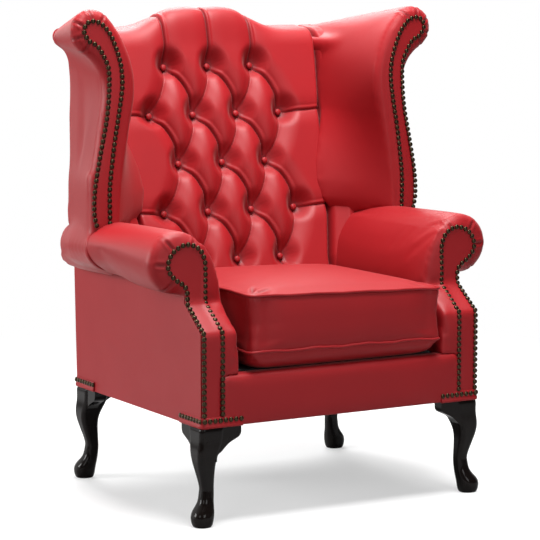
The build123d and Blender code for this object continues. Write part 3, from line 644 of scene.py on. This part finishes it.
def tufting(x, v):
    """How far the leather is pulled in and aside by the buttons and the pleats, and how much painted shade
    lies along the pleats and round the buttons
    """
    back = settings("back")
    whole = back.well + 2 * MM
    top = (back.rows - 1) * back.pitch_v
    left_over = np.ones_like(x)
    shift_x = np.zeros_like(x)
    shift_v = np.zeros_like(x)
    fold_shade = np.zeros_like(x)
    fold = np.zeros_like(x)
    for start, end in pleats():
        run = np.array(end) - np.array(start)
        length = np.linalg.norm(run)
        run = run / length
        side = np.array((-run[1], run[0]))
        if side[1] < 0 or (abs(side[1]) < 0.01 and side[0] < 0):
            side = -side
        slant = run[0] * run[1] < -0.1
        upright = abs(run[0]) < 0.01
        level = abs(run[1]) < 0.01
        share = ((x - start[0]) * run[0] + (v - start[1]) * run[1]) / length
        away = (x - start[0]) * side[0] + (v - start[1]) * side[1]
        inside = np.clip(share, 0, 1)
        beyond = np.abs(share - inside) * length
        bow = (12 if slant else -8) * MM
        if upright or level:
            bow = -3 * MM if level else 0
        away = away - bow * 4 * inside * (1 - inside)
        gap = np.hypot(away, beyond)
        first = np.exp(-inside * length / (20 * MM))
        last = np.exp(-(1 - inside) * length / (20 * MM))
        if level or (upright and end[1] > top):
            last = 0
        elif upright:
            first = 0
        middle = back.pleat * (0.3 if upright or level else 1)
        deep = middle + (0.86 * back.well - middle) * np.clip(first + last, 0, 1)
        reach = (40 if upright or level else 46) * MM
        left_over *= 1 - np.clip(deep * hollow(gap / reach, 2.1) / whole, 0, 0.999)
        on_line = np.exp(-((beyond / (4 * MM)) ** 2))
        strong = (1.0 if slant or upright else 0.7 if level else 0.3) * on_line
        fold -= strong * 4.2 * MM * np.exp(-((gap / (2.4 * MM)) ** 2))
        flap = strong * np.clip(inside * length / (24 * MM), 0, 1)
        if slant:
            flap = strong * np.clip((1 - inside) * length / (24 * MM), 0, 1)
        fold += flap * 2.2 * MM * np.exp(-(((away - 5.6 * MM) / (2.7 * MM)) ** 2))
        fold -= flap * 0.9 * MM * np.exp(-(((away - 10.5 * MM) / (2.4 * MM)) ** 2))
        near = np.exp(-((gap / (4 * MM)) ** 2)) * strong
        shift_x -= away * side[0] * 0.6 * near
        shift_v -= away * side[1] * 0.6 * near
        # Painted shade along the pleat
        fold_shade = np.maximum(fold_shade, strong * np.exp(-gap / (2.4 * MM)))
    for number, place in enumerate(button_places()):
        gap = np.hypot(x - place[0], v - place[1])
        angle = np.arctan2(v - place[1], x - place[0])
        reach = back.well_radius * (0.72 + 0.4 * np.clip(np.cos(angle - radians(58)), 0, 1))
        rim = (gap - back.button) / (reach - back.button)
        left_over *= 1 - np.clip(0.97 * back.well * hollow(rim, 2.3) / whole, 0, 0.999)
        fold *= 1 - 0.9 * np.exp(-((gap / (11 * MM)) ** 2))
        ring = np.exp(-(((gap - 22 * MM) / (10 * MM)) ** 2))
        towards = 0.35 + 0.65 * np.clip(np.cos(angle - radians(25)), 0, 1) ** 2
        for count, turn in ((17, 1.3), (26, 2.9)):
            ridge = np.abs(np.sin(0.5 * count * angle + turn * number))
            fold -= 0.75 * MM * ring * towards * (1 - ridge) ** 2
        # Painted shade in the well round the button
        fold_shade = np.maximum(fold_shade, 0.85 * np.exp(-np.maximum(gap - back.button, 0) / (8 * MM)))
    drop = whole * (1 - left_over) - fold
    return drop, shift_x, shift_v, fold_shade


class WINGCHAIR_OT_buttons(bpy.types.Operator):
    """Make the covered buttons of the back"""

    bl_idname = "wingchair.buttons"
    bl_label = "Buttons"

    def execute(self, context):
        back = settings("back")
        deselect()
        out = Vector((0, -cos(back.rake), sin(back.rake)))
        up = Vector((0, sin(back.rake), cos(back.rake)))
        base = Vector((0, back.first_y, back.first_z))
        turn = out.to_track_quat("Z", "Y").to_matrix().to_4x4()
        made = []
        for x, v in button_places():
            bpy.ops.mesh.primitive_uv_sphere_add(segments=28, ring_count=14, radius=0.9 * back.button)
            button = bpy.context.object
            for vertex in button.data.vertices:
                vertex.co.z = vertex.co.z * 0.62
            place = base + Vector((x, 0, 0)) + up * v - out * (back.well - 2 * MM)
            button.data.transform(Matrix.Translation(place) @ turn)
            made.append(button)
        piece = join(made)
        piece.name = "covered_buttons"
        smooth_shade(piece)
        upholster(piece, ["back_buttons"])
        return {"FINISHED"}


class WINGCHAIR_OT_arms(bpy.types.Operator):
    """Make the padded arms: inner pad, roll and facing are one tight skin, gathered round the scroll"""

    bl_idname = "wingchair.arms"
    bl_label = "Arms"

    scroll_x: measure("Scroll across", 334)
    scroll_y: measure("Scroll front", -270)
    scroll_z: measure("Scroll height", 525)

    def execute(self, context):
        solids = [f"{name}_left" for name in ("inside_arm", "arm_facing", "arm_board", "arm_post")]
        pad = copy_of("arm_leather_left", *solids)
        soften(pad, 6 * MM, 7)
        x, y, z = points_of(pad).T
        outer = (x > 326 * MM) & (z < 470 * MM)
        front = (normals_of(pad)[:, 1] < -0.6) & (x > 292 * MM) & (x < 368 * MM) & (y < -262 * MM)
        held = outer | front | (z < 300 * MM) | (y > 150 * MM) | ((y > 0) & (z > 566 * MM))
        inflate(pad, held, 5 * MM)
        refine(pad)
        hub = (self.scroll_x, self.scroll_y, self.scroll_z)
        folds = gathers(hub, (-52, 2, 52, 118), (41, 60, 0, 5, 2.4), (56, 70, 2, 26, 1.6))
        pinch(pad, folds, 3.2 * MM)
        for side, piece in (("left", pad), ("right", mirrored(pad, "arm_leather_right"))):
            upholster(piece, [f"inside_arm_{side}", f"arm_facing_{side}"])
        return {"FINISHED"}


class WINGCHAIR_OT_wings(bpy.types.Operator):
    """Make the padded wings: inner pad, roll and facing are one tight skin, gathered round the scroll"""

    bl_idname = "wingchair.wings"
    bl_label = "Wings"

    scroll_x: measure("Scroll across", 396)
    scroll_y: measure("Scroll front", 4)
    scroll_z: measure("Scroll height", 983)

    def execute(self, context):
        solids = ("inside_wing", "wing_facing", "wing_post", "back_post", "outside_wing")
        pad = copy_of("wing_leather_left", *[f"{name}_left" for name in solids])
        foot = {"plane_co": (0, 0, 545 * MM), "plane_no": (0, 0, 1)}
        edit(pad, bpy.ops.mesh.bisect, use_fill=True, clear_inner=True, **foot)
        rail = copy_of("rail", "wing_rail_left")
        soften(rail, 5 * MM, 3)
        modify(rail, "DISPLACE", strength=9 * MM, mid_level=0)
        back_end = copy_of("back_end", "outside_back")
        keep(back_end, (285, 200, 560), (345, 345, 1000))
        modify(back_end, "DISPLACE", strength=2.5 * MM, mid_level=0)
        arm_end = copy_of("arm_end", "inside_arm_left")
        keep(arm_end, (345, 6, 470), (430, 335, 620))
        modify(arm_end, "DISPLACE", strength=2 * MM, mid_level=0)
        deselect()
        bpy.ops.mesh.primitive_uv_sphere_add(segments=24, ring_count=12, radius=1)
        roll_end = bpy.context.object
        place = Matrix.Translation(Vector((326, 314, 960)) * MM)
        roll_end.data.transform(place @ Matrix.Diagonal((22 * MM, 16 * MM, 20 * MM, 1)))
        join([pad, rail, back_end, arm_end, roll_end])
        soften(pad, 6 * MM, 7)
        self.fill_out(pad)
        normals = normals_of(pad)
        y, z = points_of(pad).T[1:]
        front = (normals[:, 1] < -0.6) & (y < 12 * MM)
        held = front | (z < 585 * MM) | (y > 250 * MM) | (normals[:, 0] > 0.5)
        inflate(pad, held, 6 * MM)
        refine(pad)
        hub = (self.scroll_x, self.scroll_y, self.scroll_z)
        folds = gathers(hub, (-62, -18, 28, 78, 128), (27, 43, 0, 5, 2.2), (41, 50, 2, 24, 1.5))
        pinch(pad, folds, 3.0 * MM)
        for side, piece in (("left", pad), ("right", mirrored(pad, "wing_leather_right"))):
            covered = [f"{name}_{side}" for name in ("inside_wing", "wing_facing", "outside_wing")]
            upholster(piece, covered)
        return {"FINISHED"}

    def fill_out(self, pad):
        """Pad the wing out to its seam with the back, and let its outside run down over the arm"""
        x, y, z = points_of(pad).T
        level = np.array((550, 575, 600, 640, 683, 796, 900)) * MM
        wide = np.interp(z, level, np.array((0, 20, 46, 50, 42, 10, 0)) * MM)
        back = settings("back")
        face_y = back.front_y + (z - back.waist_z) * tan(back.rake)
        share = np.clip((y - 14 * MM) / (face_y - 14 * MM), 0, 1)
        inner = np.clip((362 * MM - x) / (30 * MM), 0, 1)
        share = share * np.clip((face_y + 26 * MM - y) / (22 * MM), 0, 1)
        low = np.clip((605 * MM - z) / (25 * MM), 0, 1)
        sink = 9 * MM * low * np.clip((365 * MM - x) / (15 * MM), 0, 1)
        move_to(pad, np.stack([x - wide * share * inner, y, z - sink], axis=1))
        foot = (x > 345 * MM) & (y > 18 * MM) & (z > 500 * MM) & (z < 650 * MM)
        outside = (normals_of(pad)[:, 0] > 0.5) & (y > 40 * MM) & (y < 300 * MM)
        ease(pad, foot | (outside & (z > 600 * MM) & (z < 890 * MM)), 60)
        ease(pad, (x < 345 * MM) & (y > 40 * MM) & (z > 905 * MM), 16)


class WINGCHAIR_OT_border(bpy.types.Operator):
    """Make the padded front border"""

    bl_idname = "wingchair.border"
    bl_label = "Front border"

    def execute(self, context):
        border = copy_of("front_border_leather", "front_border", "front_seat_rail")
        soften(border, 5 * MM, 6)
        modify(border, "DISPLACE", strength=1.4 * MM, mid_level=0)
        x, y, z = points_of(border).T
        held = (np.abs(x) > 278 * MM) | (z < 212 * MM) | (y > -320 * MM)
        held |= normals_of(border)[:, 1] > -0.2
        inflate(border, held, 3 * MM)
        refine(border)
        upholster(border, ["front_border"])
        return {"FINISHED"}


class WINGCHAIR_OT_cushion(bpy.types.Operator):
    """Make the loose seat cushion: crowned panels between two piped seams, eared at the corners"""

    bl_idname = "wingchair.cushion"
    bl_label = "Seat cushion"

    rear_half_width: measure("Rear half width", 224)
    cord: measure("Cord", 3.2, "Radius of the piping")
    corner: measure("Corner", 30, "Radius of the piping's corners")

    def execute(self, context):
        cover = copy_of("cushion_leather", "cushion_cover", "cushion_core", "cushion_zip")
        low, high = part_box("cushion_cover")
        seams = (336 * MM, 455 * MM)
        soften(cover, 5 * MM, 5)
        x, y, z = points_of(cover).T
        side_gap = self.half_width(y, low, high) - np.abs(x)
        edge = np.minimum(np.minimum(y - low.y, high.y - y), side_gap)
        at_seam = (np.abs(z - seams[0]) < 4 * MM) | (np.abs(z - seams[1]) < 4 * MM)
        held = (edge < 5 * MM) & at_seam
        # The underside rests on the platform and stays flat
        held |= (z < 311 * MM) & (edge > 45 * MM)
        inflate(cover, held, 7 * MM, pressure=5.0)
        refine(cover)
        move_to(cover, self.settled(points_of(cover), low, high, seams))
        folds = []
        for sign in (1, -1):
            for seam, way in ((seams[1], 1), (seams[0], -1)):
                corner_x = 8 * MM + sign * (high.x - 20 * MM)
                corner = Vector((corner_x, low.y + 12 * MM, seam + way * 6 * MM + 2 * MM))
                for dx, dy in ((-46, 16), (-22, 44)):
                    end = corner + Vector((sign * dx * MM, dy * MM, way * 9 * MM))
                    folds.append((corner, end, 1.5 * MM))
        pinch(cover, folds, 4.0 * MM)
        upholster(cover, ["cushion_cover", "cushion_core", "cushion_zip"], body="cushion")
        cords = []
        for name, seam, wave in (("upper_piping", seams[1], 0.5), ("lower_piping", seams[0], 1.3)):
            cords.append(self.piping(name, seam, wave, low, high, seams))
        for cord, solid in zip(cords, ("upper_piping", "lower_piping")):
            upholster(cord, [solid], body="cushion")
        return {"FINISHED"}

    def half_width(self, y, low, high):
        """Half the cushion's width at a distance y: narrower towards the back"""
        share = (y - low.y) / (high.y - low.y)
        return high.x + (self.rear_half_width - high.x) * share

    def settled(self, places, low, high, seams):
        """Shape the cushion as it lies: corners drawn out, crowned, and eased against the left arm"""
        moved = places.copy()
        x, y, z = places.T
        beyond = np.maximum(0, np.maximum(seams[0] - z, z - seams[1]))
        level = np.exp(-((beyond / (9 * MM)) ** 2))
        share = np.clip((z - seams[0]) / (seams[1] - seams[0]), 0, 1)
        for sign in (1, -1):
            for edge, wide, pull in ((low.y, high.x, 10 * MM), (high.y, self.rear_half_width, 6 * MM)):
                way = 1 if edge > 0 else -1
                out = np.array((sign, way, 0)) / 2**0.5
                gap = np.hypot(x - sign * (wide - 9 * MM), y - (edge - way * 9 * MM))
                strain = pull + 8 * MM * np.sin(pi * share)
                moved += out * (strain * level * np.exp(-((gap / (18 * MM)) ** 2)))[:, None]
        middle = (low.y + high.y) / 2
        across = x / high.x
        lift = (1 - share) * (9 - 2.5 * across) + share * (1 - 7 * across)
        moved[:, 2] += MM * lift * np.clip((z - 310 * MM) / (26 * MM), 0, 1)
        crown = (1 - across**2) * (1 - ((y - middle) / (high.y - middle)) ** 2)
        moved[:, 2] += 5 * MM * np.clip(crown, 0, 1) * np.clip((z - seams[1]) / (10 * MM), 0, 1)
        front = np.clip((low.y + 14 * MM - y) / (8 * MM), 0, 1)
        moved[:, 1] -= 3.5 * MM * np.sin(pi * share) * front
        moved[:, 0] = 7 * MM + 0.955 * moved[:, 0]
        return moved

    def piping(self, name, seam, wave, low, high, seams):
        """One closed cord round the cushion at a seam, a little wavy"""
        radius = self.corner
        corners = []
        for sign_x, y, wide, turn in (
            (1, high.y, self.rear_half_width, 0),
            (-1, high.y, self.rear_half_width, 90),
            (-1, low.y, high.x, 180),
            (1, low.y, high.x, 270),
        ):
            centre_x = sign_x * (wide - radius)
            centre_y = y - radius if y > 0 else y + radius
            for angle in np.radians(np.linspace(turn, turn + 90, 9)):
                corners.append((centre_x + radius * cos(angle), centre_y + radius * sin(angle), seam))
        line = spaced(corners + corners[:1], 6 * MM)[:-1]
        line = self.settled(line, low, high, seams)
        along = np.arange(len(line))
        line[:, 2] += wave * MM * (np.sin(along * 0.31) + 0.3 * np.sin(along * 0.83 + 1.7))
        curve = bpy.data.curves.new(name, "CURVE")
        curve.dimensions = "3D"
        curve.bevel_depth = self.cord
        curve.bevel_resolution = 3
        spline = curve.splines.new("POLY")
        spline.points.add(len(line) - 1)
        for point, place in zip(spline.points, line):
            point.co = (*place, 1)
        spline.use_cyclic_u = True
        cord = bpy.data.objects.new(name, curve)
        bpy.context.scene.collection.objects.link(cord)
        activate(cord)
        bpy.ops.object.convert(target="MESH")
        cord = bpy.context.object
        smooth_shade(cord)
        return cord


def nail_heads(name, places, normals):
    """One piece from low domes, each square to the surface under it"""
    nails = settings("nails")
    sides = 10
    rings = ((1.0, 0.0), (0.94, 0.42), (0.66, 0.82))
    vertices, faces = [], []
    for place, normal in zip(places, normals):
        turn = Vector(normal).to_track_quat("Z", "Y")
        first = len(vertices)
        for wide, high in rings:
            for i in range(sides):
                angle = 2 * pi * i / sides
                spot = Vector((cos(angle) * wide * nails.radius, sin(angle) * wide * nails.radius, 0))
                spot.z = high * nails.rise
                vertices.append(Vector(place) + turn @ spot)
        vertices.append(Vector(place) + turn @ Vector((0, 0, nails.rise)))
        vertices.append(Vector(place))
        for ring in range(len(rings) - 1):
            for i in range(sides):
                a = first + ring * sides + i
                b = first + ring * sides + (i + 1) % sides
                faces.append((a, b, b + sides, a + sides))
        last = first + (len(rings) - 1) * sides
        for i in range(sides):
            faces.append((last + i, last + (i + 1) % sides, first + len(rings) * sides))
            faces.append((first + (i + 1) % sides, first + i, first + len(rings) * sides + 1))
    piece = new_piece(name, vertices, faces)
    smooth_shade(piece)
    finish(piece, "chair", antique_brass())
    return piece


class WINGCHAIR_OT_nails(bpy.types.Operator):
    """Set the nails round the facings and at the lower corners"""

    bl_idname = "wingchair.nails"
    bl_label = "Nails"

    def execute(self, context):
        nails = settings("nails")
        arm_line = (
            (328, 229), (328, 300), (328, 393), (328, 446), (328, 468), (333, 481), (343, 489),
            (354, 496), (363, 505), (369, 514), (371, 526), (368, 539), (360, 551), (348, 560),
            (334, 565), (320, 565), (307, 560), (297, 552), (291, 541), (287, 526), (287, 480),
            (287, 446), (286, 393), (286, 300), (286, 229),
        )
        wing_line = (
            (395, 582), (400, 604), (400, 638), (395, 677), (383, 739), (370, 801), (364, 855),
            (364, 905), (375, 933), (390, 955), (408, 965), (420, 985), (413, 1001), (400, 1006),
            (383, 1002), (371, 992), (358, 975), (345, 945), (335, 910), (333, 870), (340, 821),
            (350, 765), (357, 717), (364, 655), (364, 585),
        )
        lean_from, lean_to, lean = 393 * MM, 446 * MM, 70 * MM
        for side, sign in SIDES.items():
            front_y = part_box(f"arm_facing_{side}")[0].y
            bent = []
            for x, z in through([(x * MM, z * MM) for x, z in arm_line]):
                bent.append((x, front_y + np.interp(z, (lean_from, lean_to), (0, lean)), z))
            wing_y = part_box(f"wing_facing_{side}")[0].y
            flat = [(x * MM, wing_y, z * MM) for x, z in through(wing_line)]
            places, normals = [], []
            for x, y, z in spaced(bent, nails.pitch):
                slope = lean / (lean_to - lean_from) if lean_from + 2 * MM < z < lean_to - 2 * MM else 0
                places.append((sign * x, y, z))
                normals.append((0, -1, slope))
            for x, y, z in spaced(flat, nails.pitch):
                places.append((sign * x, y, z))
                normals.append((0, -1, 0))
            for y, way in ((front_y, -1), (240 * MM, 1)):
                for step in range(nails.corner_count):
                    gap = step * nails.pitch
                    places.append((sign * (328 * MM - gap), y + way * 2 * MM, nails.corner_z))
                    normals.append((0, way, 0))
                    places.append((sign * 335 * MM, y - way * (5 * MM + gap), nails.corner_z))
                    normals.append((sign, 0, 0))
            nail_heads(f"nails_{side}", places, normals)
        return {"FINISHED"}


class WINGCHAIR_OT_lips(bpy.types.Operator):
    """Make the leather lips that wrap the four lower corners above the legs"""

    bl_idname = "wingchair.lips"
    bl_label = "Corner lips"

    half_width: measure("Half width", 333, "Of the chair at its corners")
    reach: measure("Reach", 92, "Of a lip from its corner")
    radius: measure("Radius", 8, "Of a lip's bend")

    def execute(self, context):
        # Each point of the section tells how far it stands out, and its height, in millimetres
        section = (
            (-3, 224), (1.6, 224), (2.4, 216), (3.0, 211), (4.4, 208), (4.6, 205), (3.2, 202.2), (-3, 202.2)
        )
        x, radius = self.half_width, self.radius
        for end, y, way in (("front", -340 * MM, -1), ("rear", 240 * MM, 1)):
            for side, sign in SIDES.items():
                path = [(x - self.reach, y, 0, way), (x - radius, y, 0, way)]
                for angle in np.radians(np.linspace(15, 75, 5)):
                    out_x, out_y = sin(angle), way * cos(angle)
                    path.append((x - radius * (1 - out_x), y - radius * (way - out_y), out_x, out_y))
                path += [(x, y - way * radius, 1, 0), (x, y - way * self.reach, 1, 0)]
                vertices, faces = [], []
                for station_x, station_y, out_x, out_y in path:
                    for out, z in section:
                        stand = (station_x + out_x * out * MM, station_y + out_y * out * MM)
                        vertices.append((sign * stand[0], stand[1], z * MM))
                count = len(section)
                for i in range(len(path) - 1):
                    for j in range(count):
                        a, b = i * count + j, i * count + (j + 1) % count
                        faces.append((a, b, b + count, a + count))
                last = (len(path) - 1) * count
                faces.append(tuple(range(count)))
                faces.append(tuple(last + j for j in reversed(range(count))))
                lip = new_piece(f"corner_lip_{end}_{side}", vertices, faces)
                edit(lip, bpy.ops.mesh.normals_make_consistent, inside=False)
                modify(lip, "BEVEL", width=0.8 * MM, segments=2, limit_method="ANGLE")
                smooth_shade(lip)
                upholster(lip)
        return {"FINISHED"}


class WINGCHAIR_OT_stage(bpy.types.Operator):
    """Make the floor, the lights and the camera"""

    bl_idname = "wingchair.stage"
    bl_label = "Stage"

    def execute(self, context):
        deselect()
        bpy.ops.mesh.primitive_plane_add(size=24, location=(0, 0, 0))
        floor = context.object
        floor.name = "floor"
        material, tree, shader = new_material("pale_floor")
        shader.inputs["Roughness"].default_value = 0.9
        light = node(tree, "ShaderNodeLightPath")
        bounced = maths(
            tree, "MULTIPLY_ADD", light.outputs["Is Glossy Ray"], 0.6, light.outputs["Is Diffuse Ray"]
        )
        pale = blend(tree, bounced, linear("#F4F4F4"), linear("#6E6E6E"))
        tree.links.new(pale, shader.inputs["Base Color"])
        white = node(tree, "ShaderNodeEmission", {"Color": (1, 1, 1, 1), "Strength": 1.0})
        place = node(tree, "ShaderNodeTexCoord").outputs["Object"]
        away = node(tree, "ShaderNodeVectorMath", {0: place}, operation="LENGTH")
        fade = {"Value": away.outputs["Value"], 1: 0.7, 2: 2.2, 3: 0.45, 4: 1.0}
        far = node(tree, "ShaderNodeMapRange", fade, interpolation_type="SMOOTHSTEP").outputs[0]
        seen = maths(tree, "MULTIPLY", light.outputs["Is Camera Ray"], far)
        mix = node(tree, "ShaderNodeMixShader", {0: seen, 1: shader.outputs[0], 2: white.outputs[0]})
        tree.links.new(mix.outputs[0], tree.nodes["Material Output"].inputs["Surface"])
        floor.data.materials.append(material)

        world = bpy.data.worlds.new("studio")
        context.scene.world = world
        world.use_nodes = True
        tree = world.node_tree
        background = tree.nodes["Background"]
        background.inputs["Color"].default_value = (1, 1, 1, 1)
        background.inputs["Strength"].default_value = 0.13
        light = node(tree, "ShaderNodeLightPath")
        way = node(tree, "ShaderNodeNewGeometry").outputs["Incoming"]
        part = node(tree, "ShaderNodeSeparateXYZ", {"Vector": way})
        fade = {"Value": part.outputs["Y"], 1: 0.25, 2: -0.35, 3: 0.05, 4: 1.0}
        behind = node(tree, "ShaderNodeMapRange", fade).outputs[0]
        backdrop = node(tree, "ShaderNodeBackground", {"Color": (1, 1, 1, 1), "Strength": 1.0})
        glossy = maths(tree, "MULTIPLY", light.outputs["Is Glossy Ray"], behind)
        clear = maths(tree, "MAXIMUM", light.outputs["Is Camera Ray"], light.outputs["Is Transmission Ray"])
        seen = maths(tree, "MAXIMUM", clear, glossy)
        mix = node(
            tree, "ShaderNodeMixShader", {0: seen, 1: background.outputs[0], 2: backdrop.outputs[0]}
        )
        tree.links.new(mix.outputs[0], tree.nodes["World Output"].inputs["Surface"])

        middle = Vector((0, 0, 0.55))
        for name, place, size, power in (
            ("key", (-3.0, -2.2, 1.9), 1.4, 20),
            ("side", (-2.7, 1.3, 1.2), 1.2, 72),
            ("fill", (0.1, -3.8, 1.5), 1.5, 38),
            ("top", (0.0, -0.5, 3.2), 1.5, 185),
            ("back", (0.6, 1.8, 2.6), 1.6, 85),
        ):
            lamp = bpy.data.lights.new(name, "AREA")
            lamp.energy = power
            lamp.size = size
            holder = bpy.data.objects.new(name, lamp)
            context.scene.collection.objects.link(holder)
            holder.location = place
            holder.rotation_euler = (middle - Vector(place)).to_track_quat("-Z", "Y").to_euler()

        camera = bpy.data.cameras.new("camera")
        camera.sensor_width = 36
        camera.lens = 158.25
        holder = bpy.data.objects.new("camera", camera)
        context.scene.collection.objects.link(holder)
        holder.location = (-2.55407, -4.43038, 1.1205)
        holder.rotation_euler = (radians(90 - 7.317), 0, radians(-30.164))
        context.scene.camera = holder
        context.scene.view_settings.view_transform = "Standard"
        return {"FINISHED"}


class WINGCHAIR_PT_panel(bpy.types.Panel):
    """Lists the chair's sizes and pieces"""

    bl_label = "Wing chair"
    bl_space_type = "VIEW_3D"
    bl_region_type = "UI"
    bl_category = "Wing chair"

    def draw(self, context):
        for name in GROUPS:
            group = settings(name)
            for key in group.bl_rna.properties.keys():
                if key not in ("rna_type", "name"):
                    self.layout.prop(group, key)
        for operator in OPERATORS:
            self.layout.operator(operator.bl_idname)


GROUPS = {
    "leather": WINGCHAIR_PG_leather,
    "back": WINGCHAIR_PG_back,
    "nails": WINGCHAIR_PG_nails,
    "legs": WINGCHAIR_PG_legs,
}
OPERATORS = (
    WINGCHAIR_OT_stage,
    WINGCHAIR_OT_frame,
    WINGCHAIR_OT_inside_back,
    WINGCHAIR_OT_buttons,
    WINGCHAIR_OT_arms,
    WINGCHAIR_OT_wings,
    WINGCHAIR_OT_border,
    WINGCHAIR_OT_cushion,
    WINGCHAIR_OT_lips,
    WINGCHAIR_OT_nails,
)


def register():
    for name, group in GROUPS.items():
        bpy.utils.register_class(group)
        setattr(bpy.types.Scene, "wingchair_" + name, bpy.props.PointerProperty(type=group))
    for operator in OPERATORS:
        bpy.utils.register_class(operator)
    bpy.utils.register_class(WINGCHAIR_PT_panel)


def unregister():
    bpy.utils.unregister_class(WINGCHAIR_PT_panel)
    for operator in reversed(OPERATORS):
        bpy.utils.unregister_class(operator)
    for name, group in GROUPS.items():
        delattr(bpy.types.Scene, "wingchair_" + name)
        bpy.utils.unregister_class(group)


def main():
    register()
    bpy.ops.wingchair.stage()
    bpy.ops.wingchair.frame()
    bpy.ops.wingchair.inside_back()
    bpy.ops.wingchair.buttons()
    bpy.ops.wingchair.arms()
    bpy.ops.wingchair.wings()
    bpy.ops.wingchair.border()
    bpy.ops.wingchair.cushion()
    bpy.ops.wingchair.lips()
    bpy.ops.wingchair.nails()


if __name__ == "__main__":
    main()
